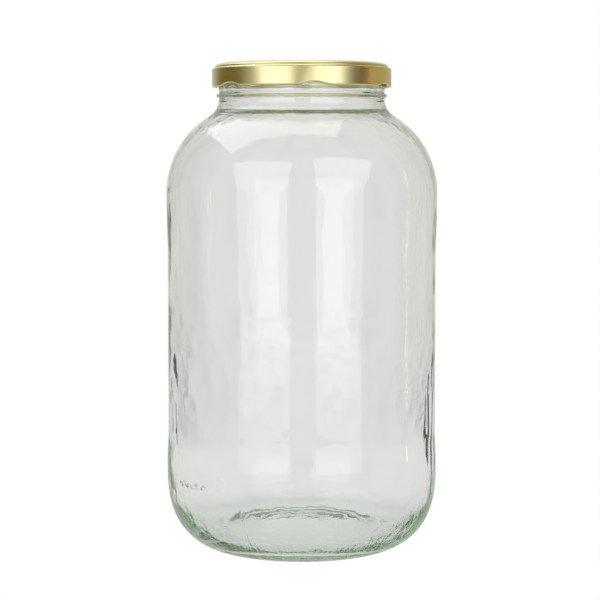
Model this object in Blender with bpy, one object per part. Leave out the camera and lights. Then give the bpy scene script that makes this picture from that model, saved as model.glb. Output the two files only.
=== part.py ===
"""Large clear glass jar with a twist-off metal lid, closed and empty.

Three pieces, all turned about the Z axis: the blown glass jar, the pressed lid with its six lugs, and
the soft seal ring between them. Blender units are metres; sizes below are in millimetres.
The origin is the centre of the ring that the jar stands on, and +Z is up.
"""

import math

import bmesh
import bpy

MM = 0.001

# Glass jar, outside
BODY_RADIUS = 76.5
HEEL_HEIGHT = 48.9
REST_RADIUS = 45.8
HEEL_SIDE_POWER = 2.88
HEEL_FLOOR_POWER = 1.74
PANEL_HOLLOW = 0.7
PANEL_LOW = 64.0
PANEL_HIGH = 194.0
PANEL_EASE = 5.0
PANEL_LOW_EASE = 9.0
SHOULDER_HEIGHT = 201.0
SHOULDER_RADIUS = 51.0
NECK_RADIUS = 46.6
NECK_FILLET = 11.0
BEAD_HEIGHT = 255.6
BEAD_RADIUS = 48.2
BEAD_HALF_HEIGHT = 1.9
FINISH_RADIUS = 46.9
RIM_HEIGHT = 270.0
RIM_ROUND = 1.5

# Glass jar, underside and inside
REST_INNER_RADIUS = 43.6
REST_INNER_EASE = 1.2
PUNT_EDGE_RADIUS = 40.0
PUNT_EDGE_HEIGHT = 4.0
PUNT_HEIGHT = 8.5
FLOOR_CENTRE_HEIGHT = 13.5
FLOOR_EDGE_HEIGHT = 9.5
FLOOR_EDGE_RADIUS = 50.0
WALL = 3.1
INNER_HEEL_HEIGHT = 60.0
MOUTH_RADIUS = 42.9

# Threads: six short right-hand ridges on the neck, one over each of the lid's lugs
THREAD_LOW = 261.2
THREAD_HIGH = 266.3
THREAD_HALF_HEIGHT = 1.1
THREAD_FLANK = 0.35
THREAD_PROUD = 1.7
THREAD_SPAN_DEG = 56.0
THREAD_AHEAD_DEG = 37.5
THREAD_END_DEG = 7.5

# Pressed lid
LID_TOP = 273.6
LID_RADIUS = 50.45
LID_BOTTOM = 260.2
LID_SHEET = 0.5
LID_CORNER = 1.5
LID_CORNER_DEG = 75
LID_CREST_RADIUS = 44.8
LID_BEAD_OUTER = 48.8
LID_BEAD_INNER = 42.3
LID_BEAD_DROP = 2.4
LID_PANEL_DROP = 1.3
LID_STEP_RADIUS = 29.5
LID_STEP_DROP = 0.5
HEM_THICKNESS = 1.7
HEM_HEIGHT = 1.9

# Lugs: six places where the rolled lower edge is pressed inwards
LUG_COUNT = 6
LUG_CENTRE_DEG = -82.4
LUG_HALF_DEG = 9.5
LUG_END_DEG = 5.2
LUG_REACH = 1.1
LUG_PRESS = 1.0
LUG_LIFT = 0.55
LUG_RISE = 2.4

# Seal ring pressed into the lid
GAP = 0.3
SEAL_INNER_RADIUS = 43.3
SEAL_OUTER_RADIUS = 48.3
SEAL_EDGE_HEIGHT = 0.8
SEAL_CROWN_HEIGHT = 2.1
SEAL_CROWN_RADIUS = 45.6

# Facets round each piece, and steps along the curves of its section
JAR_SEGMENTS = 48
LID_SEGMENTS = 60
SEAL_SEGMENTS = 48
HEEL_STEPS = 9
INNER_HEEL_STEPS = 7
SHOULDER_STEPS = 7
FLOOR_STEPS = 3
BEAD_STEPS = 4
THREAD_ROWS = 6
RIM_STEPS = 2
BEAD_OUTER_STEPS = 4
BEAD_INNER_STEPS = 3
CORNER_STEPS = 3
HEM_STEPS = 4

SHARP_DEG = 40
NEAR = 0.1


def arc(centre_r, centre_z, radius, start_deg, end_deg, steps):
    """Points (r, z) on a circle's arc, both ends included."""
    points = []
    for i in range(steps + 1):
        angle = math.radians(start_deg + (end_deg - start_deg) * i / steps)
        points.append((centre_r + radius * math.cos(angle), centre_z + radius * math.sin(angle)))
    return points


def dome_line(centre_z, edge_r, edge_z, steps):
    """Points out from the axis over a shallow dome, or under a hollow, to its edge."""
    points = []
    for i in range(steps + 1):
        share = i / steps
        points.append((edge_r * share, edge_z + (centre_z - edge_z) * (1 - share**2)))
    return points


def heel_curve(foot_r, foot_z, side_r, side_z, steps):
    """Points up a rounded heel, level where it leaves the foot and upright where it joins the side."""
    points = []
    for i in range(steps + 1):
        angle = math.pi / 2 * (1 - i / steps)
        across = abs(math.cos(angle)) ** (2 / HEEL_FLOOR_POWER)
        up = 1 - math.sin(angle) ** (2 / HEEL_SIDE_POWER)
        points.append((foot_r + (side_r - foot_r) * across, foot_z + (side_z - foot_z) * up))
    return points


def shoulder_curve(side_r, arc_radius, neck_r, fillet, steps):
    """Points up the shoulder: a round arc that runs on into a hollow fillet under the neck."""
    arc_centre_r = side_r - arc_radius
    fillet_centre_r = neck_r + fillet
    reach = arc_radius + fillet
    offset_r = fillet_centre_r - arc_centre_r
    offset_z = math.sqrt(reach**2 - offset_r**2)
    meet_deg = math.degrees(math.atan2(offset_z, offset_r))
    fillet_centre_z = SHOULDER_HEIGHT + offset_z
    points = arc(arc_centre_r, SHOULDER_HEIGHT, arc_radius, 0, meet_deg, steps)
    points += arc(fillet_centre_r, fillet_centre_z, fillet, 180 + meet_deg, 180, steps // 2)[1:]
    return points


def bead_curve(base_r, crest_r, centre_z, half_height, steps):
    """Points up a round-topped ring that stands out of a straight neck."""
    points = []
    for i in range(steps + 1):
        t = 2 * i / steps - 1
        swell = 0.5 + 0.5 * math.cos(math.pi * t)
        points.append((base_r + (crest_r - base_r) * swell, centre_z + half_height * t))
    return points


def jar_outline():
    """The jar's section from the middle of its underside, up the outside, over the rim and down inside."""
    underside = dome_line(PUNT_HEIGHT, PUNT_EDGE_RADIUS, PUNT_EDGE_HEIGHT, FLOOR_STEPS)
    underside.append((REST_INNER_RADIUS - REST_INNER_EASE, REST_INNER_EASE / 2))
    underside.append((REST_INNER_RADIUS, 0.0))

    panel_radius = BODY_RADIUS - PANEL_HOLLOW
    side = heel_curve(REST_RADIUS, 0.0, BODY_RADIUS, HEEL_HEIGHT, HEEL_STEPS)
    side.append((BODY_RADIUS, PANEL_LOW - PANEL_LOW_EASE))
    side.append((panel_radius, PANEL_LOW))
    side.append((panel_radius, PANEL_HIGH))
    side.append((BODY_RADIUS, PANEL_HIGH + PANEL_EASE))

    neck = shoulder_curve(BODY_RADIUS, SHOULDER_RADIUS, NECK_RADIUS, NECK_FILLET, SHOULDER_STEPS)
    neck += bead_curve(NECK_RADIUS, BEAD_RADIUS, BEAD_HEIGHT, BEAD_HALF_HEIGHT, BEAD_STEPS)
    low = THREAD_LOW - THREAD_HALF_HEIGHT
    high = THREAD_HIGH + THREAD_HALF_HEIGHT
    for i in range(THREAD_ROWS + 1):
        neck.append((FINISH_RADIUS, low + (high - low) * i / THREAD_ROWS))

    rim_z = RIM_HEIGHT - RIM_ROUND
    rim = arc(FINISH_RADIUS - RIM_ROUND, rim_z, RIM_ROUND, 0, 90, RIM_STEPS)
    rim += arc(MOUTH_RADIUS + RIM_ROUND, rim_z, RIM_ROUND, 90, 180, RIM_STEPS)

    inner_radius = BODY_RADIUS - WALL
    inside = shoulder_curve(
        inner_radius, SHOULDER_RADIUS - WALL, MOUTH_RADIUS, NECK_FILLET + WALL, SHOULDER_STEPS
    )
    inside.reverse()
    inner_heel = heel_curve(
        FLOOR_EDGE_RADIUS, FLOOR_EDGE_HEIGHT, inner_radius, INNER_HEEL_HEIGHT, INNER_HEEL_STEPS
    )
    inner_heel.reverse()
    inside += inner_heel
    floor = dome_line(FLOOR_CENTRE_HEIGHT, FLOOR_EDGE_RADIUS, FLOOR_EDGE_HEIGHT, FLOOR_STEPS)
    floor.reverse()
    return underside + side + neck + rim + inside + floor[1:]


def bead_side(foot_r, foot_z, steps):
    """Points up one side of the lid's bead, a quarter of an ellipse from its foot to its crest."""
    points = []
    for i in range(steps + 1):
        angle = math.pi / 2 * i / steps
        across = (foot_r - LID_CREST_RADIUS) * math.cos(angle)
        points.append((LID_CREST_RADIUS + across, foot_z + (LID_TOP - foot_z) * math.sin(angle)))
    return points


def lid_sheet_line():
    """The outer face of the lid's sheet, from the middle of its top to the lower end of its skirt."""
    panel = LID_TOP - LID_PANEL_DROP
    middle = panel - LID_STEP_DROP
    crease = LID_TOP - LID_BEAD_DROP
    line = [(0.0, middle), (LID_STEP_RADIUS, middle), (LID_STEP_RADIUS + 2 * LID_STEP_DROP, panel)]
    line += bead_side(LID_BEAD_INNER, panel, BEAD_INNER_STEPS)
    line += bead_side(LID_BEAD_OUTER, crease, BEAD_OUTER_STEPS)[-2::-1]
    corner_z = crease - LID_CORNER
    line += arc(LID_RADIUS - LID_CORNER, corner_z, LID_CORNER, LID_CORNER_DEG, 0, CORNER_STEPS)
    line.append((LID_RADIUS, LID_BOTTOM + HEM_HEIGHT + LUG_RISE))
    line.append((LID_RADIUS, LID_BOTTOM + HEM_HEIGHT))
    return line


def offset_line(line, distance):
    """The same line moved sideways by a distance, as the other face of a bent sheet."""
    moved = []
    for i, (r, z) in enumerate(line):
        before = line[max(i - 1, 0)]
        after = line[min(i + 1, len(line) - 1)]
        along_r = after[0] - before[0]
        along_z = after[1] - before[1]
        length = math.hypot(along_r, along_z)
        shift_r = distance * along_z / length
        shift_z = -distance * along_r / length
        moved.append((max(r + shift_r, 0.0), z + shift_z))
    moved[0] = (0.0, line[0][1] - distance)
    return moved


def lid_outline():
    """The lid's section: over the top, down the skirt, round the rolled hem and back underneath."""
    outer = lid_sheet_line()
    inner = offset_line(outer, LID_SHEET)
    inner[-1] = (LID_RADIUS - LID_SHEET, LID_BOTTOM + HEM_HEIGHT + GAP)
    radius = HEM_THICKNESS / 2
    hem = arc(LID_RADIUS - radius, LID_BOTTOM + radius, radius, 0, -180, HEM_STEPS)
    inner.reverse()
    return outer + hem + inner


def seal_outline():
    """The seal ring's section: a flat face on the rim, and a back that fills the lid's bead."""
    low = RIM_HEIGHT + GAP
    return [
        (SEAL_INNER_RADIUS, low),
        (SEAL_OUTER_RADIUS, low),
        (SEAL_OUTER_RADIUS, low + SEAL_EDGE_HEIGHT),
        (SEAL_CROWN_RADIUS, low + SEAL_CROWN_HEIGHT),
        (LID_CREST_RADIUS, low + SEAL_CROWN_HEIGHT),
        (SEAL_INNER_RADIUS, low + SEAL_EDGE_HEIGHT),
    ]


def turn(name, outline, segments, closed):
    """A solid turned about the Z axis from a section, closed on itself or ended on the axis.

    The section starts at the middle of the first lug, so that all six lugs and threads have like facets.
    """
    shape = bmesh.new()
    cosine = math.cos(math.radians(LUG_CENTRE_DEG))
    sine = math.sin(math.radians(LUG_CENTRE_DEG))
    verts = [shape.verts.new((r * cosine * MM, r * sine * MM, z * MM)) for r, z in outline]
    edges = [shape.edges.new(pair) for pair in zip(verts, verts[1:])]
    if closed:
        edges.append(shape.edges.new((verts[-1], verts[0])))
    bmesh.ops.spin(
        shape, geom=verts + edges, axis=(0, 0, 1), cent=(0, 0, 0), steps=segments, angle=2 * math.pi
    )
    bmesh.ops.remove_doubles(shape, verts=shape.verts, dist=0.001 * MM)
    bmesh.ops.recalc_face_normals(shape, faces=shape.faces)
    mesh = bpy.data.meshes.new(name)
    shape.to_mesh(mesh)
    shape.free()
    piece = bpy.data.objects.new(name, mesh)
    bpy.context.scene.collection.objects.link(piece)
    return piece


def ease(value):
    """A smooth step from 0 to 1."""
    value = min(max(value, 0.0), 1.0)
    return value * value * (3 - 2 * value)


def angle_from(angle_deg, centre_deg):
    """The signed angle between two directions, from -180 to 180."""
    return (angle_deg - centre_deg + 180) % 360 - 180


def raise_threads(piece):
    """Pushes the neck's surface out into a ridge over each lug, which climbs anticlockwise from above."""
    low = THREAD_LOW - THREAD_HALF_HEIGHT - NEAR
    high = THREAD_HIGH + THREAD_HALF_HEIGHT + NEAR
    for vert in piece.data.vertices:
        radius = math.hypot(vert.co.x, vert.co.y) / MM
        height = vert.co.z / MM
        if radius < FINISH_RADIUS - NEAR or not low < height < high:
            continue
        angle = math.degrees(math.atan2(vert.co.y, vert.co.x))
        for i in range(LUG_COUNT):
            along = angle_from(angle, LUG_CENTRE_DEG + 360 / LUG_COUNT * i) + THREAD_AHEAD_DEG
            if not 0 < along < THREAD_SPAN_DEG:
                continue
            ends = min(along, THREAD_SPAN_DEG - along) / THREAD_END_DEG
            crest = THREAD_LOW + (THREAD_HIGH - THREAD_LOW) * along / THREAD_SPAN_DEG
            across = abs(height - crest) / (THREAD_HALF_HEIGHT + THREAD_FLANK)
            proud = THREAD_PROUD * ease(ends) * ease(1 - across)
            vert.co.x *= (radius + proud) / radius
            vert.co.y *= (radius + proud) / radius


def press_lugs(piece):
    """Pushes the hem inwards and up at six places, and dents the skirt above it to match."""
    hem_top = LID_BOTTOM + HEM_HEIGHT
    for vert in piece.data.vertices:
        height = vert.co.z / MM
        if height > hem_top + LUG_RISE - NEAR:
            continue
        angle = math.degrees(math.atan2(vert.co.y, vert.co.x))
        pressed = 0.0
        for i in range(LUG_COUNT):
            off = abs(angle_from(angle, LUG_CENTRE_DEG + 360 / LUG_COUNT * i))
            pressed = max(pressed, ease((LUG_HALF_DEG - off) / LUG_END_DEG))
        radius = math.hypot(vert.co.x, vert.co.y) / MM
        share = ease((hem_top + LUG_RISE - height) / LUG_RISE)
        inner_side = radius < LID_RADIUS - HEM_THICKNESS / 2
        push = (LUG_REACH if inner_side else LUG_PRESS) * pressed * share
        vert.co.x *= (radius - push) / radius
        vert.co.y *= (radius - push) / radius
        vert.co.z += LUG_LIFT * pressed * share * MM


def finish_material(name, colour, metallic, roughness, transmission=0.0):
    """A plain Principled finish."""
    material = bpy.data.materials.new(name)
    material.use_nodes = True
    shader = material.node_tree.nodes["Principled BSDF"]
    shader.inputs["Base Color"].default_value = (*colour, 1.0)
    shader.inputs["Metallic"].default_value = metallic
    shader.inputs["Roughness"].default_value = roughness
    shader.inputs["Transmission Weight"].default_value = transmission
    return material


def dress(piece, material):
    """Gives a piece its material and round shading."""
    piece.data.materials.append(material)
    piece.data.shade_smooth()
    piece.data.set_sharp_from_angle(angle=math.radians(SHARP_DEG))


def main():
    for old in list(bpy.data.objects):
        bpy.data.objects.remove(old)

    jar = turn("glass_jar", jar_outline(), JAR_SEGMENTS, closed=False)
    raise_threads(jar)
    dress(jar, finish_material("clear_glass", (0.86, 0.90, 0.87), 0.0, 0.03, transmission=1.0))

    lid = turn("gold_lid", lid_outline(), LID_SEGMENTS, closed=False)
    press_lugs(lid)
    dress(lid, finish_material("gold_lacquer", (0.86, 0.75, 0.38), 1.0, 0.28))

    seal = turn("seal_ring", seal_outline(), SEAL_SEGMENTS, closed=True)
    dress(seal, finish_material("seal_compound", (0.80, 0.79, 0.74), 0.0, 0.55))


main()
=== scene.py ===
"""Looks of a large clear glass jar, empty and closed by a gold twist-off lid."""

import math

import bpy
import numpy as np
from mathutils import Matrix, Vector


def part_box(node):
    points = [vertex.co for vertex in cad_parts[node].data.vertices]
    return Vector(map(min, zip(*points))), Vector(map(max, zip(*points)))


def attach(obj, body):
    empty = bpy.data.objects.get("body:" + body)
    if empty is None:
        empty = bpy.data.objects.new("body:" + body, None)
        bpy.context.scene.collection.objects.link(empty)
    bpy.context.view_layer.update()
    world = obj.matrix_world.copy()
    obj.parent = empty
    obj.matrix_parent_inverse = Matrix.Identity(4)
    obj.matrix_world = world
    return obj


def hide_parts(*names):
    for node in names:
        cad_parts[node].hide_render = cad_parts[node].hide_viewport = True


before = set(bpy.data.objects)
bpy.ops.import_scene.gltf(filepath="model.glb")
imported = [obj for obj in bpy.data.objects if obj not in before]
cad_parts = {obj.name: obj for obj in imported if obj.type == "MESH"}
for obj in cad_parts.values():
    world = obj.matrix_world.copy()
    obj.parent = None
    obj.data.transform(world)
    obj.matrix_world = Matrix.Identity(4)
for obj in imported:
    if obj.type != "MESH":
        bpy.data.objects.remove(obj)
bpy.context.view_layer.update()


# Glass jar
# One piece of soda-lime glass, pressed at the neck and blown in a two-part mould. The outside has the
# mould's form, and the inside is smoother and a little uneven, with most of the glass in the heel.

MM = 0.001

jar_low, jar_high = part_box("glass_jar")
RIM_HEIGHT = jar_high.z / MM
BODY_RADIUS = jar_high.x / MM

# Sizes in millimetres, up the outside
PUNT_EDGE_RADIUS = 40.0
PUNT_EDGE_HEIGHT = 4.0
PUNT_HEIGHT = 8.5
REST_INNER_RADIUS = 44.6
REST_RADIUS = 45.8
HEEL_HEIGHT = 48.9
HEEL_SIDE_POWER = 2.88
HEEL_FLOOR_POWER = 1.74
PANEL_HOLLOW = 0.7
PANEL_BOTTOM = 50.0
PANEL_LOW = 68.0
PANEL_HIGH = 165.0
PANEL_TOP = 199.0
SHOULDER_HEIGHT = 201.0
SHOULDER_RADIUS = 51.0
NECK_RADIUS = 46.6
NECK_FILLET = 11.0
BEAD_HEIGHT = 255.6
BEAD_RADIUS = 48.2
BEAD_HALF_HEIGHT = 1.9
FINISH_RADIUS = 46.9
RIM_ROUND = 1.5

# Sizes of the inside
WALL = 3.1
FLOOR_CENTRE_HEIGHT = 13.5
FLOOR_EDGE_HEIGHT = 9.5
FLOOR_EDGE_RADIUS = 50.0
INNER_HEEL_HEIGHT = 60.0
INNER_FILLET = 3.5
MOUTH_RADIUS = 42.9

THREAD_COUNT = 6
THREAD_LOW = 261.2
THREAD_HIGH = 266.3
THREAD_HALF_HEIGHT = 1.45
THREAD_MARGIN = 0.2
THREAD_PROUD = 1.7
THREAD_SPAN = math.radians(56)
THREAD_END = math.radians(7.5)
THREAD_REACH = 2.0
FIRST_LUG = math.radians(-82.4)
THREAD_START = FIRST_LUG - math.radians(37.5)

# How many points each stretch of the section has
JAR_SEGMENTS = 240
ROW_HEIGHT = 2.2
PUNT_STEPS = 9
PUNT_FLANK_STEPS = 12
HEEL_STEPS = 40
PANEL_LOW_STEPS = 9
PANEL_HIGH_STEPS = 14
SHOULDER_STEPS = 30
BEAD_STEPS = 12
FINISH_STEPS = 22
RIM_STEPS = 5
INNER_HEEL_STEPS = 28
FLOOR_STEPS = 16


def arc(centre_r, centre_z, radius, start_deg, end_deg, steps):
    """Points (r, z) on a circle's arc, both ends included."""
    points = []
    for i in range(steps + 1):
        angle = math.radians(start_deg + (end_deg - start_deg) * i / steps)
        points.append((centre_r + radius * math.cos(angle), centre_z + radius * math.sin(angle)))
    return points


def smooth(value):
    """A smooth step from 0 to 1, for numbers and arrays."""
    value = np.clip(value, 0.0, 1.0)
    return value * value * (3 - 2 * value)


def rise(r, low, high):
    """Points up an upright stretch of wall, a row height apart, without its ends."""
    count = max(int((high - low) / ROW_HEIGHT), 1)
    return [(r, low + (high - low) * i / count) for i in range(1, count)]


def step_in(r_from, r_to, low, high, steps):
    """Points up a soft step in the wall, both ends included."""
    points = []
    for i in range(steps + 1):
        share = i / steps
        points.append((r_from + (r_to - r_from) * float(smooth(share)), low + (high - low) * share))
    return points


def dome(centre_z, edge_r, edge_z, steps):
    """Points out from the axis over a shallow dome to its edge."""
    points = []
    for i in range(steps + 1):
        share = i / steps
        points.append((edge_r * share, edge_z + (centre_z - edge_z) * (1 - share**2)))
    return points


def flank(start_r, start_z, end_r, steps):
    """Points out and down from the dome under the jar to its standing ring, without the first."""
    points = []
    for i in range(1, steps + 1):
        share = i / steps
        points.append((start_r + (end_r - start_r) * share, start_z * float(smooth(1 - share))))
    return points


def heel(foot_r, foot_z, side_r, side_z, steps):
    """Points up a rounded heel, level where it leaves the foot and upright where it joins the side."""
    points = []
    for i in range(steps + 1):
        angle = math.pi / 2 * (1 - i / steps)
        across = abs(math.cos(angle)) ** (2 / HEEL_FLOOR_POWER)
        up = 1 - math.sin(angle) ** (2 / HEEL_SIDE_POWER)
        points.append((foot_r + (side_r - foot_r) * across, foot_z + (side_z - foot_z) * up))
    return points


def shoulder(side_r, arc_radius, neck_r, fillet, steps):
    """Points up the shoulder: a round arc that runs on into a hollow fillet under the neck."""
    arc_centre_r = side_r - arc_radius
    fillet_centre_r = neck_r + fillet
    offset_r = fillet_centre_r - arc_centre_r
    offset_z = math.sqrt((arc_radius + fillet) ** 2 - offset_r**2)
    meet_deg = math.degrees(math.atan2(offset_z, offset_r))
    fillet_centre_z = SHOULDER_HEIGHT + offset_z
    points = arc(arc_centre_r, SHOULDER_HEIGHT, arc_radius, 0, meet_deg, steps)
    points += arc(fillet_centre_r, fillet_centre_z, fillet, 180 + meet_deg, 180, steps // 3)[1:]
    return points


def neck_bead(steps):
    """Points up the round bead under the threads."""
    points = []
    for i in range(steps + 1):
        up = 2 * i / steps - 1
        swell = 0.5 + 0.5 * math.cos(math.pi * up)
        r = NECK_RADIUS + (BEAD_RADIUS - NECK_RADIUS) * swell
        points.append((r, BEAD_HEIGHT + BEAD_HALF_HEIGHT * up))
    return points


def draw_section(name, points):
    """A line in the XZ plane: one vertex, extruded from point to point along the section."""
    bpy.ops.object.select_all(action="DESELECT")
    bpy.ops.mesh.primitive_plane_add(size=MM)
    piece = bpy.context.active_object
    piece.name = name
    piece.data.name = name
    bpy.ops.object.mode_set(mode="EDIT")
    bpy.ops.mesh.select_all(action="SELECT")
    bpy.ops.mesh.merge(type="CENTER")
    bpy.ops.transform.translate(value=(points[0][0] * MM, 0, points[0][1] * MM))
    for before, after in zip(points, points[1:]):
        step = ((after[0] - before[0]) * MM, 0, (after[1] - before[1]) * MM)
        bpy.ops.mesh.extrude_region_move(TRANSFORM_OT_translate={"value": step})
    return piece


def turn_section(piece, segments):
    """Spins the drawn section once round the Z axis and closes its seam and poles."""
    bpy.ops.mesh.select_all(action="SELECT")
    bpy.ops.mesh.spin(steps=segments, angle=2 * math.pi, center=(0, 0, 0), axis=(0, 0, 1))
    bpy.ops.mesh.select_all(action="SELECT")
    bpy.ops.mesh.remove_doubles(threshold=0.01 * MM)
    bpy.ops.mesh.normals_make_consistent(inside=False)
    bpy.ops.object.mode_set(mode="OBJECT")
    bpy.ops.object.shade_smooth()
    return piece


def jar_section():
    """The jar's section from the middle of its underside, up the outside and down the inside."""
    panel_radius = BODY_RADIUS - PANEL_HOLLOW
    finish_low = THREAD_LOW - THREAD_HALF_HEIGHT - THREAD_MARGIN
    finish_high = THREAD_HIGH + THREAD_HALF_HEIGHT + THREAD_MARGIN
    rim_z = RIM_HEIGHT - RIM_ROUND

    outside = dome(PUNT_HEIGHT, PUNT_EDGE_RADIUS, PUNT_EDGE_HEIGHT, PUNT_STEPS)[:-2]
    outside += flank(*outside[-1], REST_INNER_RADIUS, PUNT_FLANK_STEPS)
    outside += heel(REST_RADIUS, 0.0, BODY_RADIUS, HEEL_HEIGHT, HEEL_STEPS)
    outside += rise(BODY_RADIUS, HEEL_HEIGHT, PANEL_BOTTOM)
    outside += step_in(BODY_RADIUS, panel_radius, PANEL_BOTTOM, PANEL_LOW, PANEL_LOW_STEPS)
    outside += rise(panel_radius, PANEL_LOW, PANEL_HIGH)
    outside += step_in(panel_radius, BODY_RADIUS, PANEL_HIGH, PANEL_TOP, PANEL_HIGH_STEPS)
    outside += shoulder(BODY_RADIUS, SHOULDER_RADIUS, NECK_RADIUS, NECK_FILLET, SHOULDER_STEPS)
    outside += neck_bead(BEAD_STEPS)
    outside += step_in(FINISH_RADIUS, FINISH_RADIUS, finish_low, finish_high, FINISH_STEPS)
    outside += arc(FINISH_RADIUS - RIM_ROUND, rim_z, RIM_ROUND, 0, 90, RIM_STEPS)
    outside += arc(MOUTH_RADIUS + RIM_ROUND, rim_z, RIM_ROUND, 90, 180, RIM_STEPS)

    side = BODY_RADIUS - WALL
    inside = dome(FLOOR_CENTRE_HEIGHT, FLOOR_EDGE_RADIUS, FLOOR_EDGE_HEIGHT, FLOOR_STEPS)[:-1]
    inside += heel(FLOOR_EDGE_RADIUS, FLOOR_EDGE_HEIGHT, side, INNER_HEEL_HEIGHT, INNER_HEEL_STEPS)
    inside += rise(side, INNER_HEEL_HEIGHT, SHOULDER_HEIGHT)
    inside += shoulder(side, SHOULDER_RADIUS - WALL, MOUTH_RADIUS, INNER_FILLET, SHOULDER_STEPS)
    inside += rise(MOUTH_RADIUS, inside[-1][1], rim_z)[::2]
    return outside + inside[::-1]


jar = turn_section(draw_section("clear_jar", jar_section()), JAR_SEGMENTS)

# Unevenness of blown glass. Each row of waves has how many go round the jar, how long each is up the wall,
# and where they start. The mould keeps the outside true to a tenth of a millimetre.
OUTSIDE_WAVES = ((3, 7, 11, 17), (95, 61, 140, 83), 0.7)
OUTSIDE_DEPTH = 0.05
INSIDE_WAVES = ((4, 9, 14, 23), (70, 52, 38, 66), 2.1)
INSIDE_DEPTH = 0.12
WAVE_SWAY = 1.3
WAVE_SWAY_LENGTH = 1.7

# Shallow upright flutes inside the upper half
FLUTES = 12
FLUTE_TURN = math.radians(15)
FLUTE_DEPTH = 0.28
FLUTE_EVEN_SHARE = 0.75
FLUTE_SWELL = 0.35
FLUTE_SWELL_TURN = 0.4
FLUTE_LOW = 112
FLUTE_LOW_FADE = 22
FLUTE_HIGH = 225
FLUTE_HIGH_FADE = 20

# More glass in the lower half, with a ragged upper edge that lies higher at the left than at the right
SETTLE_HEIGHT = 124.0
SETTLE_LEAN = 15
SETTLE_LEAN_TURN = 0.35
SETTLE_RAGGED = 9
SETTLE_WAVES = ((9, 14, 31, 43), (60, 45, 30, 25), 1.2)
SETTLE_FADE = 60
SETTLE_DEPTH = 1.0
SETTLE_STEP = 0.10
SETTLE_STEP_FADE = 4
SETTLE_FOOT = 16
SETTLE_FOOT_FADE = 36

# Patches where the wall was drawn thin and thick: turn in degrees, lower and upper height, and depth
DRAWN_PATCHES = (
    (-10, 46, 110, 0.80), (-10, 192, 222, 0.20),
    (20, 60, 130, 0.30), (115, 80, 180, 0.25), (160, 40, 120, 0.12),
    (-170, 58, 100, 0.20), (-170, 180, 204, 0.20))
DRAWN_WAVES = ((37, 53, 71), (90, 64, 47), 0.4)
DRAWN_HALF_TURN = math.radians(13)
DRAWN_EDGE = 1.3
DRAWN_FADE = 16
DRAWN_THIN = 0.5

# Heights and radii of a line inside the thickness of the wall, which parts its two faces above the heel
WALL_LINE_HEIGHTS = (56.0, 201.0, 240.0, 250.0, 270.0)
WALL_LINE_RADII = (75.0, 75.0, 51.0, 45.0, 45.0)
UNEVEN_LOW = 18
UNEVEN_LOW_FADE = 20
UNEVEN_HIGH = 252
UNEVEN_HIGH_FADE = 12


def read_places(piece):
    """Every vertex of a piece as arrays: radius and height in millimetres, and angle in radians."""
    co = np.zeros(len(piece.data.vertices) * 3)
    piece.data.vertices.foreach_get("co", co)
    co = co.reshape(-1, 3)
    return np.hypot(co[:, 0], co[:, 1]) / MM, np.arctan2(co[:, 1], co[:, 0]), co[:, 2] / MM


def write_places(piece, radius, angle, height):
    """Puts every vertex at its radius, angle and height."""
    co = np.stack([radius * np.cos(angle), radius * np.sin(angle), height], axis=1) * MM
    piece.data.vertices.foreach_set("co", co.astype(np.float32).ravel())
    piece.data.update()


def turn_off(angle, centre):
    """How far each angle is from the one at the centre, either way round."""
    return np.abs((angle - centre + math.pi) % (2 * math.pi) - math.pi)


def waves(angle, height, turns, lengths, phase):
    """Smooth unevenness from -1 to 1: sine waves round the jar, each bent by one up its height."""
    total = np.zeros_like(angle)
    for i, (turn, length) in enumerate(zip(turns, lengths)):
        bend = 2 * np.pi * height / (length * WAVE_SWAY_LENGTH) + phase * (i + 2)
        sway = WAVE_SWAY * np.sin(bend)
        total += np.sin(turn * angle + sway + phase * i) * np.cos(2 * np.pi * height / length + phase + i)
    return total / len(turns)


radius, angle, height = read_places(jar)
front = angle + math.pi / 2
outer = radius > np.interp(height, WALL_LINE_HEIGHTS, WALL_LINE_RADII)
inner = ~outer & (height > FLOOR_CENTRE_HEIGHT)

# Threads: six short ridges that climb to the right, one over each of the lid's lugs
thread_zone = outer & (height > THREAD_LOW - THREAD_REACH) & (height < THREAD_HIGH + THREAD_REACH)
for i in range(THREAD_COUNT):
    along = (angle - THREAD_START - 2 * math.pi * i / THREAD_COUNT) % (2 * math.pi)
    ends = np.minimum(along, THREAD_SPAN - along) / THREAD_END
    crest = THREAD_LOW + (THREAD_HIGH - THREAD_LOW) * along / THREAD_SPAN
    ridge = smooth(ends) * smooth(1 - np.abs(height - crest) / THREAD_HALF_HEIGHT)
    radius = radius + np.where(thread_zone, THREAD_PROUD * ridge, 0)

flutes = FLUTE_DEPTH * np.cos(FLUTES * (front + FLUTE_TURN))
flutes = flutes * (FLUTE_EVEN_SHARE + FLUTE_SWELL * np.cos(2 * front + FLUTE_SWELL_TURN))
flutes = flutes * smooth((height - FLUTE_LOW) / FLUTE_LOW_FADE)
flutes = flutes * smooth((FLUTE_HIGH - height) / FLUTE_HIGH_FADE)

settle = SETTLE_HEIGHT - SETTLE_LEAN * np.sin(front + SETTLE_LEAN_TURN)
settle = settle + SETTLE_RAGGED * waves(angle, height, *SETTLE_WAVES)
thicker = SETTLE_DEPTH * smooth((settle - height) / SETTLE_FADE)
thicker = thicker + SETTLE_STEP * smooth((settle - height) / SETTLE_STEP_FADE)
thicker = thicker * smooth((height - SETTLE_FOOT) / SETTLE_FOOT_FADE)

drawn = np.zeros_like(angle)
for turn_deg, low, high, depth in DRAWN_PATCHES:
    patch = smooth(DRAWN_EDGE - turn_off(angle, math.radians(turn_deg)) / DRAWN_HALF_TURN)
    patch = patch * smooth((height - low) / DRAWN_FADE) * smooth((high - height) / DRAWN_FADE)
    drawn += depth * patch * (waves(angle, height, *DRAWN_WAVES) - DRAWN_THIN)

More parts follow.
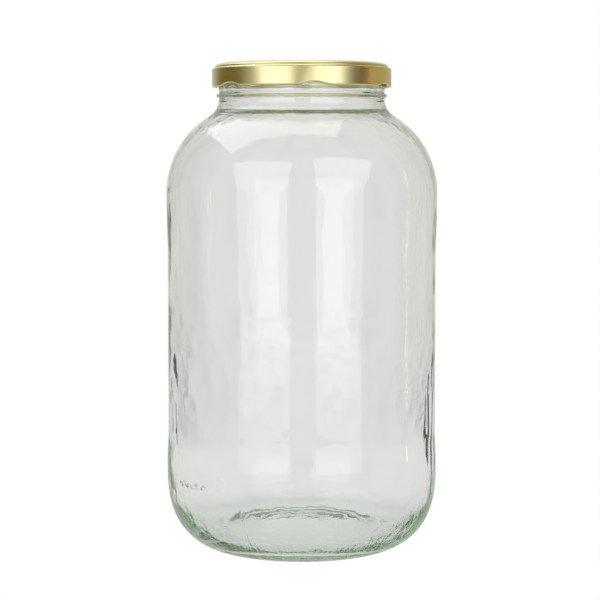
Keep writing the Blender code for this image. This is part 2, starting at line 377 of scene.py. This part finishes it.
outside_shift = OUTSIDE_DEPTH * (waves(angle, height, *OUTSIDE_WAVES) - 1)
inside_shift = INSIDE_DEPTH * waves(angle, height, *INSIDE_WAVES) + flutes - thicker + drawn
on_side = smooth((height - UNEVEN_LOW) / UNEVEN_LOW_FADE)
on_side = on_side * smooth((UNEVEN_HIGH - height) / UNEVEN_HIGH_FADE)
radius = radius + np.where(outer, outside_shift, np.where(inner, inside_shift, 0)) * on_side
write_places(jar, radius, angle, height)

# Colours and relief of its surface. Relief is in millimetres, heights and distances from the axis are in
# metres, and turns are in radians from the front. A pair is where a mask has gone and where it is full. Four
# numbers are where it begins, where it is full from and to, and where it ends. Each noise has its scale and
# its detail, and how much its place is stretched.
GLASS_COLOUR = (0.986, 0.988, 0.985, 1)
DEEP_GLASS_COLOUR = (0.715, 0.80, 0.70, 1)
DEEP_GLASS_DENSITY = 24.0
GLASS_SHADE = (0.86, 0.88, 0.86, 1)
GLASS_INDEX = 1.52
RIPPLE_NOISE = (60.0, 2.5)
RIPPLE_RELIEF = 0.14
STREAK_NOISE = (190.0, 2.0, (1.0, 1.0, 0.06))
STREAK_RELIEF = 0.035
CHILL_NOISE = (130.0, 1.2)
CHILL_RELIEF = 0.16
CHILL_BY_HEEL = (0.050, 0.022)
CHILL_BY_NECK = (0.226, 0.234, 0.242, 0.250)
NECK_CHILL_GAIN = 1.4
SLACK_NOISE = (48.0, 0.8, (1.0, 1.0, 2.2))
SLACK_RELIEF = 0.80
SLACK_TURN = (-0.62, -0.40, 0.40, 0.66)
SLACK_HEIGHT = (0.106, 0.122, 0.136, 0.156)
WRINKLE_NOISE = (420.0, 2.0)
WRINKLE_RELIEF = 0.08
WRINKLE_TURN = (0.62, 0.74, 0.98, 1.10)
WRINKLE_HEIGHT = (0.066, 0.084, 0.225, 0.240)
SEAM_RELIEF = 0.05
SEAM_TURN = math.radians(-25.7)
SEAM_HALF_WIDTH = 0.0007
SEAM_HEIGHT = (0.064, 0.056)
SEAM_FROM_AXIS = (0.058, 0.062)
RIB_RELIEF = 0.02
RIB_TURNS = 110
RIB_FROM_AXIS = (0.0455, 0.0470, 0.0575, 0.0590)
RIB_HEIGHT = (0.009, 0.006)
DOT_RELIEF = 0.22
DOT_SCALE = 420.0
DOT_EDGE = (0.42, 0.20)
DOT_ROWS = ((0.55, 1.05, 0.0125, 0.0165), (-1.10, -0.80, 0.0400, 0.0425))
DOT_ROW_END = 0.02
DOT_ROW_EDGE = 0.001


def new_material(name):
    """A material with only a Principled shader, its node tree and that shader."""
    material = bpy.data.materials.new(name)
    material.use_nodes = True
    tree = material.node_tree
    return material, tree, tree.nodes["Principled BSDF"]


def add_node(tree, kind, settings=None, **sockets):
    """A node with its settings, and with values or links for its inputs by name, or by number as i0."""
    node = tree.nodes.new(kind)
    for key, value in (settings or {}).items():
        setattr(node, key, value)
    for key, value in sockets.items():
        numbered = key[0] == "i" and key[1:].isdigit()
        socket = node.inputs[int(key[1:]) if numbered else key.replace("_", " ")]
        if isinstance(value, bpy.types.NodeSocket):
            tree.links.new(value, socket)
        else:
            socket.default_value = value
    return node


def compute(tree, operation, first, second=0.0):
    """A math node's result."""
    return add_node(tree, "ShaderNodeMath", {"operation": operation}, i0=first, i1=second).outputs[0]


def product(tree, first, *others):
    """All the values multiplied together."""
    for other in others:
        first = compute(tree, "MULTIPLY", first, other)
    return first


def between(tree, value, none, full):
    """A soft mask that is 0 at one value and 1 at another."""
    node = add_node(tree, "ShaderNodeMapRange", {"interpolation_type": "SMOOTHSTEP"}, Value=value,
                    From_Min=min(none, full), From_Max=max(none, full),
                    To_Min=float(none > full), To_Max=float(none < full))
    return node.outputs[0]


def band(tree, value, low_none, low_full, high_full, high_none):
    """A soft mask that is 1 over a stretch of values and 0 on both sides of it."""
    low_side = between(tree, value, low_none, low_full)
    high_side = between(tree, value, high_none, high_full)
    return product(tree, low_side, high_side)


def noise(tree, place, scale, detail, stretch=None):
    """A noise texture's value, with its place stretched first where that is asked for."""
    if stretch:
        place = add_node(tree, "ShaderNodeMapping", Vector=place, Scale=stretch).outputs[0]
    return add_node(tree, "ShaderNodeTexNoise", Vector=place, Scale=scale, Detail=detail).outputs["Fac"]


glass, tree, shader = new_material("clear_soda_glass")
shader.inputs["Base Color"].default_value = GLASS_COLOUR
shader.inputs["Roughness"].default_value = 0.0
shader.inputs["IOR"].default_value = GLASS_INDEX
shader.inputs["Transmission Weight"].default_value = 1.0
place = add_node(tree, "ShaderNodeTexCoord").outputs["Object"]
parts = add_node(tree, "ShaderNodeSeparateXYZ", Vector=place)
x, y, z = parts.outputs
level_place = add_node(tree, "ShaderNodeCombineXYZ", X=x, Y=y).outputs[0]
from_axis = add_node(tree, "ShaderNodeVectorMath", {"operation": "LENGTH"}, i0=level_place).outputs["Value"]
turned = compute(tree, "ARCTAN2", x, product(tree, y, -1.0))

# Ripples all over, and streaks where the wall was drawn down as it was blown
ripple = product(tree, noise(tree, place, *RIPPLE_NOISE), RIPPLE_RELIEF)
streak = product(tree, noise(tree, place, *STREAK_NOISE), STREAK_RELIEF)

# Rough floor, heel and neck, chilled against the cold ends of the mould
by_neck = product(tree, band(tree, z, *CHILL_BY_NECK), NECK_CHILL_GAIN)
chilled = compute(tree, "ADD", between(tree, z, *CHILL_BY_HEEL), by_neck)
chill = product(tree, noise(tree, place, *CHILL_NOISE), chilled, CHILL_RELIEF)

# Slack ripples across the front, where the thick glass of the lower half begins
slack_zone = product(tree, band(tree, turned, *SLACK_TURN), band(tree, z, *SLACK_HEIGHT))
slack = product(tree, noise(tree, place, *SLACK_NOISE), slack_zone, SLACK_RELIEF)

# Fine wrinkles down the right side, where the glass met the mould last
wrinkle_zone = product(tree, band(tree, turned, *WRINKLE_TURN), band(tree, z, *WRINKLE_HEIGHT))
wrinkle = product(tree, noise(tree, place, *WRINKLE_NOISE), wrinkle_zone, WRINKLE_RELIEF)

# Mould seam, up the heel on both sides
seam_side = (math.cos(SEAM_TURN), math.sin(SEAM_TURN), 0)
off_seam = add_node(tree, "ShaderNodeVectorMath", {"operation": "DOT_PRODUCT"}, i0=place, i1=seam_side)
seam = between(tree, compute(tree, "ABSOLUTE", off_seam.outputs["Value"]), SEAM_HALF_WIDTH, 0.0)
seam_zone = product(tree, between(tree, z, *SEAM_HEIGHT), between(tree, from_axis, *SEAM_FROM_AXIS))
seam = product(tree, seam, seam_zone, SEAM_RELIEF)

# Ribbed ring round the foot, and small raised dots on the heel
ribs = compute(tree, "SINE", product(tree, turned, RIB_TURNS))
rib_zone = product(tree, band(tree, from_axis, *RIB_FROM_AXIS), between(tree, z, *RIB_HEIGHT))
ribs = product(tree, ribs, rib_zone, RIB_RELIEF)
dots = add_node(tree, "ShaderNodeTexVoronoi", Vector=place, Scale=DOT_SCALE).outputs["Distance"]
dots = product(tree, between(tree, dots, *DOT_EDGE), DOT_RELIEF)
relief = compute(tree, "ADD", ripple, streak)
for layer in (chill, slack, wrinkle, seam, ribs):
    relief = compute(tree, "ADD", relief, layer)
for turn_low, turn_high, low, high in DOT_ROWS:
    along = band(tree, turned, turn_low, turn_low + DOT_ROW_END, turn_high, turn_high + DOT_ROW_END)
    upwards = band(tree, z, low, low + DOT_ROW_EDGE, high, high + DOT_ROW_EDGE)
    relief = compute(tree, "ADD", relief, product(tree, dots, along, upwards))

bump = add_node(tree, "ShaderNodeBump", Height=relief, Strength=1.0, Distance=MM)
tree.links.new(bump.outputs["Normal"], shader.inputs["Normal"])
depth = add_node(tree, "ShaderNodeVolumeAbsorption", Color=DEEP_GLASS_COLOUR, Density=DEEP_GLASS_DENSITY)
rays = add_node(tree, "ShaderNodeLightPath")
clear = add_node(tree, "ShaderNodeBsdfTransparent", Color=GLASS_SHADE)
open_rays = compute(tree, "MAXIMUM", rays.outputs["Is Shadow Ray"], rays.outputs["Is Diffuse Ray"])
mix = add_node(tree, "ShaderNodeMixShader", i0=open_rays, i1=shader.outputs[0], i2=clear.outputs[0])
output = tree.nodes["Material Output"]
tree.links.new(mix.outputs[0], output.inputs["Surface"])
tree.links.new(depth.outputs[0], output.inputs["Volume"])
jar.data.materials.append(glass)

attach(jar, "root")
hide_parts("glass_jar")


# Seal ring
# A soft ring of off-white compound, cast into the lid's rim while liquid and cured there. The glass rim
# bites into it when the lid is turned shut.

SEAL_DARK = (0.56, 0.54, 0.47, 1)
SEAL_PALE = (0.70, 0.68, 0.61, 1)
SEAL_ROUGHNESS = 0.55
SPECK_NOISE = (900.0, 4.0)
SPECK_RELIEF = 0.0001
SPECK_STRENGTH = 0.3


def two_tones(tree, value, dark, pale):
    """A colour that runs between two tones as a value goes from 0 to 1."""
    ramp = add_node(tree, "ShaderNodeValToRGB", Fac=value)
    ramp.color_ramp.elements[0].color = dark
    ramp.color_ramp.elements[1].color = pale
    return ramp.outputs["Color"]


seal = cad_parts["seal_ring"]
compound, tree, shader = new_material("cured_seal_compound")
place = add_node(tree, "ShaderNodeTexCoord").outputs["Object"]
specks = noise(tree, place, *SPECK_NOISE)
tree.links.new(two_tones(tree, specks, SEAL_DARK, SEAL_PALE), shader.inputs["Base Color"])
shader.inputs["Roughness"].default_value = SEAL_ROUGHNESS
bump = add_node(tree, "ShaderNodeBump", Height=specks, Strength=SPECK_STRENGTH, Distance=SPECK_RELIEF)
tree.links.new(bump.outputs["Normal"], shader.inputs["Normal"])
seal.data.materials.clear()
seal.data.materials.append(compound)


# Gold lid
# Tinplate, lacquered gold on both sides and pressed: a sunk panel, a round bead over the rim, a skirt, and
# a lower edge that is rolled inwards and then squeezed in at six places to make the lugs.

lid_low, lid_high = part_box("gold_lid")
LID_TOP = lid_high.z / MM
LID_BOTTOM = lid_low.z / MM
LID_RADIUS = 50.4
LID_SHEET = 0.35
LID_CORNER = 1.5
LID_CORNER_START = 78
LID_CREST_RADIUS = 44.8
LID_BEAD_OUTER = 48.8
LID_BEAD_INNER = 42.3
LID_BEAD_DROP = 2.4
LID_PANEL_DROP = 1.3
LID_PANEL_RADII = (33.0, 36.5, 39.5, 41.3)
LID_STEP_RADIUS = 29.5
LID_STEP_HALF = 0.7
LID_STEP_DROP = 0.5
LID_MIDDLE_RADII = (0.0, 4.0, 9.0, 14.0, 19.0, 24.0, 27.5)
HEM_RADIUS = 0.9
HEM_TURN = 300
LUG_HALF = math.radians(12.5)
LUG_END = math.radians(11.0)
LUG_PRESS = 0.25
LUG_LIFT = 1.6
LUG_RISE = 8.0
LID_SEGMENTS = 360
SKIRT_STEPS = 14
LACQUER_DARK = (0.74, 0.67, 0.36, 1)
LACQUER_PALE = (0.82, 0.76, 0.46, 1)
LACQUER_SMOOTH = 0.25
LACQUER_ROUGH = 0.39
CLOUD_NOISE = (60.0, 3.0)
GRAIN_NOISE = (2600.0, 3.0, (1.0, 0.06, 1.0))
GRAIN_RELIEF = 0.00004
GRAIN_STRENGTH = 0.4


def bead_side(foot_r, foot_z, steps):
    """Points up one side of the bead, a quarter of an ellipse from its foot to its crest."""
    points = []
    for i in range(steps + 1):
        angle = math.pi / 2 * i / steps
        across = (foot_r - LID_CREST_RADIUS) * math.cos(angle)
        points.append((LID_CREST_RADIUS + across, foot_z + (LID_TOP - foot_z) * math.sin(angle)))
    return points


def panel_step(low, high, steps):
    """Points out and up the shallow step in the lid's panel, both ends included."""
    points = []
    for i in range(steps + 1):
        share = i / steps
        r = LID_STEP_RADIUS + LID_STEP_HALF * (2 * share - 1)
        points.append((r, low + (high - low) * float(smooth(share))))
    return points


def lid_section():
    """The outer face of the lid's sheet, from the middle of its top down and round its rolled edge."""
    panel = LID_TOP - LID_PANEL_DROP
    middle = panel - LID_STEP_DROP
    crease = LID_TOP - LID_BEAD_DROP
    skirt_top = crease - LID_CORNER
    skirt_end = LID_BOTTOM + HEM_RADIUS
    line = [(r, middle) for r in LID_MIDDLE_RADII]
    line += panel_step(middle, panel, 6)
    line += [(r, panel) for r in LID_PANEL_RADII]
    line += bead_side(LID_BEAD_INNER, panel, 8)
    line += bead_side(LID_BEAD_OUTER, crease, 12)[-2::-1]
    line += arc(LID_RADIUS - LID_CORNER, skirt_top, LID_CORNER, LID_CORNER_START, 0, 7)
    for i in range(1, SKIRT_STEPS):
        line.append((LID_RADIUS, skirt_top + (skirt_end - skirt_top) * i / SKIRT_STEPS))
    line += arc(LID_RADIUS - HEM_RADIUS, skirt_end, HEM_RADIUS, 0, -HEM_TURN, 16)
    return line


lid = turn_section(draw_section("gold_lid_pressed", lid_section()), LID_SEGMENTS)

# Lugs: the rolled edge, squeezed in and up over each thread
radius, angle, height = read_places(lid)
pressed = np.zeros_like(angle)
for i in range(THREAD_COUNT):
    off = turn_off(angle, FIRST_LUG + 2 * math.pi * i / THREAD_COUNT)
    pressed = np.maximum(pressed, smooth((LUG_HALF - off) / LUG_END))
pressed = pressed * smooth((LID_BOTTOM + 2 * HEM_RADIUS + LUG_RISE - height) / LUG_RISE)
write_places(lid, radius - LUG_PRESS * pressed, angle, height + LUG_LIFT * pressed)

bpy.ops.object.select_all(action="DESELECT")
lid.select_set(True)
bpy.context.view_layer.objects.active = lid
sheet = lid.modifiers.new("sheet", "SOLIDIFY")
sheet.thickness = LID_SHEET * MM
sheet.offset = -1
bpy.ops.object.modifier_apply(modifier="sheet")

lacquer, tree, shader = new_material("gold_lacquered_tinplate")
place = add_node(tree, "ShaderNodeTexCoord").outputs["Object"]
grain = noise(tree, place, *GRAIN_NOISE)
cloud = noise(tree, place, *CLOUD_NOISE)
tree.links.new(two_tones(tree, cloud, LACQUER_DARK, LACQUER_PALE), shader.inputs["Base Color"])
shader.inputs["Metallic"].default_value = 1.0
rough = add_node(tree, "ShaderNodeMapRange", Value=grain, To_Min=LACQUER_SMOOTH, To_Max=LACQUER_ROUGH)
tree.links.new(rough.outputs[0], shader.inputs["Roughness"])
bump = add_node(tree, "ShaderNodeBump", Height=grain, Strength=GRAIN_STRENGTH, Distance=GRAIN_RELIEF)
tree.links.new(bump.outputs["Normal"], shader.inputs["Normal"])
lid.data.materials.append(lacquer)

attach(lid, "root")
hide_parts("gold_lid")


# Studio floor and surround
# A white floor and a white surround, banded with colour in reflections, and with dark boards between the
# bright parts where they are seen through the glass. The boards give the clear glass its edges.

FLOOR_SIZE = 40.0

# Colour of the surround in reflections by direction, in degrees from the camera's side round by the right
REFLECTED = (
    (-180, (1.1, 1.1, 1.0)), (-168, (0.80, 0.78, 0.72)), (-148, (0.60, 0.57, 0.54)),
    (-132, (0.24, 0.20, 0.10)), (-116, (0.14, 0.10, 0.0)), (-84, (0.12, 0.08, 0.0)),
    (-70, (0.34, 0.32, 0.16)), (-55, (0.36, 0.34, 0.22)), (-12, (0.20, 0.19, 0.10)),
    (13, (0.30, 0.28, 0.17)), (58, (0.27, 0.23, 0.11)), (67, (0.07, 0.03, 0.0)),
    (90, (0.07, 0.01, 0.0)), (102, (0.50, 0.34, 0.08)), (120, (0.46, 0.38, 0.15)),
    (134, (0.42, 0.38, 0.22)), (168, (0.70, 0.68, 0.60)), (180, (1.1, 1.1, 1.0)))

# Boards: one in the middle of each eighth of the way round, with half widths and soft edges in degrees
BOARD_GAP = 22.5
BOARD_HALF = 5.0
BOARD_EDGE = 3.0
BOARD_LIGHT = 0.50
SIDE_FALL = 0.10
SIDE_FALL_FROM = 2.0
SIDE_FALL_TO = 12.0
BEHIND_LIGHT = 0.81
WHITE = (1, 1, 1, 1)

# Colours of the floor, one of them a painted shadow under the jar, and how far from the jar's axis each
# begins and ends, in metres
FLOOR_BY_JAR = (0.62, 0.62, 0.60, 1)
FLOOR_NEAR = 0.6
FLOOR_FAR = 1.6
# Painted shadow under the jar, seen only through the glass: the floor there is darker and a little green
PAINTED_SHADOW_UNDER_JAR = (0.69, 0.70, 0.69, 1)
PAINTED_SHADOW_FULL = 0.08
PAINTED_SHADOW_NONE = 0.115
BOARDS_NONE = 0.22
BOARDS_FULL = 0.45


def new_group(name, result, kind):
    """A node group from a direction to one result: the group, the direction and where the result goes."""
    group = bpy.data.node_groups.new(name, "ShaderNodeTree")
    group.interface.new_socket("Direction", in_out="INPUT", socket_type="NodeSocketVector")
    group.interface.new_socket(result, in_out="OUTPUT", socket_type=kind)
    start = group.nodes.new("NodeGroupInput")
    end = group.nodes.new("NodeGroupOutput")
    return group, start.outputs["Direction"], end.inputs[result]


def mixed(tree, share, first, second):
    """A colour that goes from the first to the second as the share goes from 0 to 1."""
    node = add_node(tree, "ShaderNodeMix", {"data_type": "RGBA"}, i0=share, i6=first, i7=second)
    return node.outputs[2]


# Reflected bands, as a group that the floor and the surround both use
bands, direction, result = new_group("reflected_bands", "Color", "NodeSocketColor")
parts = add_node(bands, "ShaderNodeSeparateXYZ", Vector=direction)
turn = compute(bands, "ARCTAN2", parts.outputs["X"], product(bands, parts.outputs["Y"], -1.0))
share = add_node(bands, "ShaderNodeMapRange", Value=turn, From_Min=-math.pi, From_Max=math.pi)
ramp = add_node(bands, "ShaderNodeValToRGB", Fac=share.outputs[0])
stops = ramp.color_ramp.elements
stops.remove(stops[-1])
for i, (degrees, colour) in enumerate(REFLECTED):
    stop = stops[0] if i == 0 else stops.new(0.5 + degrees / 360)
    stop.position = 0.5 + degrees / 360
    stop.color = (*colour, 1)
bands.links.new(ramp.outputs["Color"], result)

# Light between the boards, as a group that the floor, the surround and the lights all use
boards, direction, result = new_group("light_between_boards", "Light", "NodeSocketFloat")
parts = add_node(boards, "ShaderNodeSeparateXYZ", Vector=direction)
turn = compute(boards, "DEGREES", compute(boards, "ARCTAN2", parts.outputs["X"], parts.outputs["Y"]))
off = compute(boards, "PINGPONG", turn, BOARD_GAP)
light = add_node(boards, "ShaderNodeMapRange", Value=off,
                 From_Min=BOARD_GAP - BOARD_HALF - BOARD_EDGE, From_Max=BOARD_GAP - BOARD_HALF + BOARD_EDGE,
                 To_Min=BEHIND_LIGHT, To_Max=BOARD_LIGHT)
fall = product(boards, between(boards, off, SIDE_FALL_FROM, SIDE_FALL_TO), SIDE_FALL)
boards.links.new(product(boards, light.outputs[0], compute(boards, "SUBTRACT", 1.0, fall)), result)


def grouped(tree, group, direction):
    """The result of a node group for a direction."""
    return add_node(tree, "ShaderNodeGroup", {"node_tree": group}, Direction=direction).outputs[0]


def seen_as(tree, reflected, through):
    """White to the camera and to diffuse rays, with other colours in reflections and through the glass."""
    rays = add_node(tree, "ShaderNodeLightPath")
    seen = mixed(tree, rays.outputs["Is Transmission Ray"], reflected, through)
    plain = compute(tree, "MAXIMUM", rays.outputs["Is Camera Ray"], rays.outputs["Is Diffuse Ray"])
    return mixed(tree, plain, seen, WHITE)


def emission_material(name):
    """A material without a shader yet, for a thing that glows, and its node tree."""
    material = bpy.data.materials.new(name)
    material.use_nodes = True
    tree = material.node_tree
    tree.nodes.remove(tree.nodes["Principled BSDF"])
    return material, tree


def let_glow(tree, colour):
    """Gives a material its glow in a colour."""
    glow = add_node(tree, "ShaderNodeEmission", Color=colour, Strength=1.0)
    tree.links.new(glow.outputs[0], tree.nodes["Material Output"].inputs["Surface"])


bpy.ops.object.select_all(action="DESELECT")
bpy.ops.mesh.primitive_plane_add(size=FLOOR_SIZE)
floor = bpy.context.active_object
floor.name = "studio_floor"
white, tree = emission_material("white_floor")
place = add_node(tree, "ShaderNodeTexCoord").outputs["Object"]
from_jar = add_node(tree, "ShaderNodeVectorMath", {"operation": "LENGTH"}, i0=place).outputs["Value"]
near = between(tree, from_jar, FLOOR_FAR, FLOOR_NEAR)
reflected = mixed(tree, near, grouped(tree, bands, place), FLOOR_BY_JAR)
board_reach = between(tree, from_jar, BOARDS_NONE, BOARDS_FULL)
held = product(tree, compute(tree, "SUBTRACT", BEHIND_LIGHT, grouped(tree, boards, place)), board_reach)
# Painted shadow: the floor under the jar is darker where it is seen through the glass
painted_shadow = between(tree, from_jar, PAINTED_SHADOW_NONE, PAINTED_SHADOW_FULL)
through = mixed(tree, painted_shadow, compute(tree, "SUBTRACT", BEHIND_LIGHT, held), PAINTED_SHADOW_UNDER_JAR)
let_glow(tree, seen_as(tree, reflected, through))
floor.data.materials.append(white)

world = bpy.data.worlds.new("studio_surround")
bpy.context.scene.world = world
world.use_nodes = True
tree = world.node_tree
direction = add_node(tree, "ShaderNodeTexCoord").outputs["Generated"]
reflected = grouped(tree, bands, direction)
through = grouped(tree, boards, direction)
tree.links.new(seen_as(tree, reflected, through), tree.nodes["Background"].inputs["Color"])


# Studio lights
# Two tall softboxes in front, a panel above and a narrow warm strip at the right. They are flat sheets that
# show in reflections only, and give the glass its bright strips and the lid its bands.

BOX_RADIANCE = 1.75
LEFT_LINE = ((-477, -304), (-97, -566))
LEFT_CORNERS = ((70, 0), (462, 0), (440, 250), (478, 640), (-80, 560), (62, 250))
RIGHT_LINE = ((110, -565), (489, -283))
RIGHT_CORNERS = ((0, 0), (350, 0), (366, 250), (560, 600), (-5, 720), (10, 250))
WARM_LINE = ((647, 56), (640, 90))
WARM_CORNERS = ((0, 0), (9, 0), (9, 440), (0, 440))
WARM_RADIANCE = 4.5
WARM_COLOUR = (1.0, 0.80, 0.42)
ABOVE_HEIGHT = 950
ABOVE_CORNERS = ((310, -213), (250, 309), (-250, 309), (-725, 1100), (-860, -200))
ABOVE_RADIANCE = 1.75
FOOT_DIM = 0.28
FOOT_DIM_FULL = 0.054
FOOT_DIM_NONE = 0.070


def bright_sheet(name, corners, radiance, colour=(1, 1, 1)):
    """A flat light of any outline, dimmer at its foot through the glass and absent straight through it."""
    bpy.ops.object.select_all(action="DESELECT")
    bpy.ops.mesh.primitive_circle_add(vertices=len(corners), radius=1, fill_type="NGON")
    sheet = bpy.context.active_object
    sheet.name = name
    for vert, corner in zip(sheet.data.vertices, corners):
        vert.co = [c * MM for c in corner]
    material, tree = emission_material(name)
    place = add_node(tree, "ShaderNodeTexCoord").outputs["Object"]
    parts = add_node(tree, "ShaderNodeSeparateXYZ", Vector=place)
    rays = add_node(tree, "ShaderNodeLightPath")
    low = between(tree, parts.outputs["Z"], FOOT_DIM_NONE, FOOT_DIM_FULL)
    low = product(tree, low, rays.outputs["Is Transmission Ray"], FOOT_DIM)
    bright = product(tree, compute(tree, "SUBTRACT", 1.0, low), radiance)
    lit = add_node(tree, "ShaderNodeVectorMath", {"operation": "SCALE"}, i0=colour, Scale=bright)
    unreflected = compute(tree, "LESS_THAN", rays.outputs["Glossy Depth"], 0.5)
    straight = product(tree, rays.outputs["Is Transmission Ray"], unreflected)
    let_glow(tree, mixed(tree, straight, lit.outputs[0], grouped(tree, boards, place)))
    sheet.data.materials.append(material)
    sheet.visible_camera = False
    sheet.visible_shadow = False


def standing_sheet(name, line, corners, radiance, colour=(1, 1, 1)):
    """An upright light over a line on the floor, with corners as distances along it and heights."""
    (x0, y0), (x1, y1) = line
    length = math.hypot(x1 - x0, y1 - y0)
    places = [(x0 + (x1 - x0) * u / length, y0 + (y1 - y0) * u / length, z) for u, z in corners]
    bright_sheet(name, places, radiance, colour)


standing_sheet("softbox_left", LEFT_LINE, LEFT_CORNERS, BOX_RADIANCE)
standing_sheet("softbox_right", RIGHT_LINE, RIGHT_CORNERS, BOX_RADIANCE)
standing_sheet("warm_strip", WARM_LINE, WARM_CORNERS, WARM_RADIANCE, WARM_COLOUR)
bright_sheet("panel_above", [(x, y, ABOVE_HEIGHT) for x, y in ABOVE_CORNERS], ABOVE_RADIANCE)


# Camera
# It stands a metre in front of the jar, level with the jar's upper half, and looks slightly down on it. The
# jar's axis is a little right of the middle of the picture, which is taken to be 600 pixels wide.

CAMERA_PLACE = (0.0, -1.0587, 0.2215)
CAMERA_TILT = math.radians(90 - 4.38)
CAMERA_LENS = 112.2
PICTURE_WIDTH = 600
AXIS_OFF_MIDDLE = 1.75
BOUNCES = 40

camera_data = bpy.data.cameras.new("camera")
camera_data.lens = CAMERA_LENS
camera_data.sensor_width = 36
camera_data.shift_x = -AXIS_OFF_MIDDLE / PICTURE_WIDTH
camera_data.clip_start = 0.01
camera_data.clip_end = 100
camera = bpy.data.objects.new("camera", camera_data)
camera.location = CAMERA_PLACE
camera.rotation_euler = (CAMERA_TILT, 0, 0)
scene = bpy.context.scene
scene.collection.objects.link(camera)
bpy.context.scene.camera = camera

# Plain colours, and enough bounces for the light to leave the thick glass of the heel
scene.view_settings.view_transform = "Standard"
scene.cycles.max_bounces = BOUNCES
scene.cycles.transmission_bounces = BOUNCES
scene.cycles.glossy_bounces = BOUNCES
scene.cycles.transparent_max_bounces = 16
scene.cycles.caustics_reflective = False
scene.cycles.caustics_refractive = False
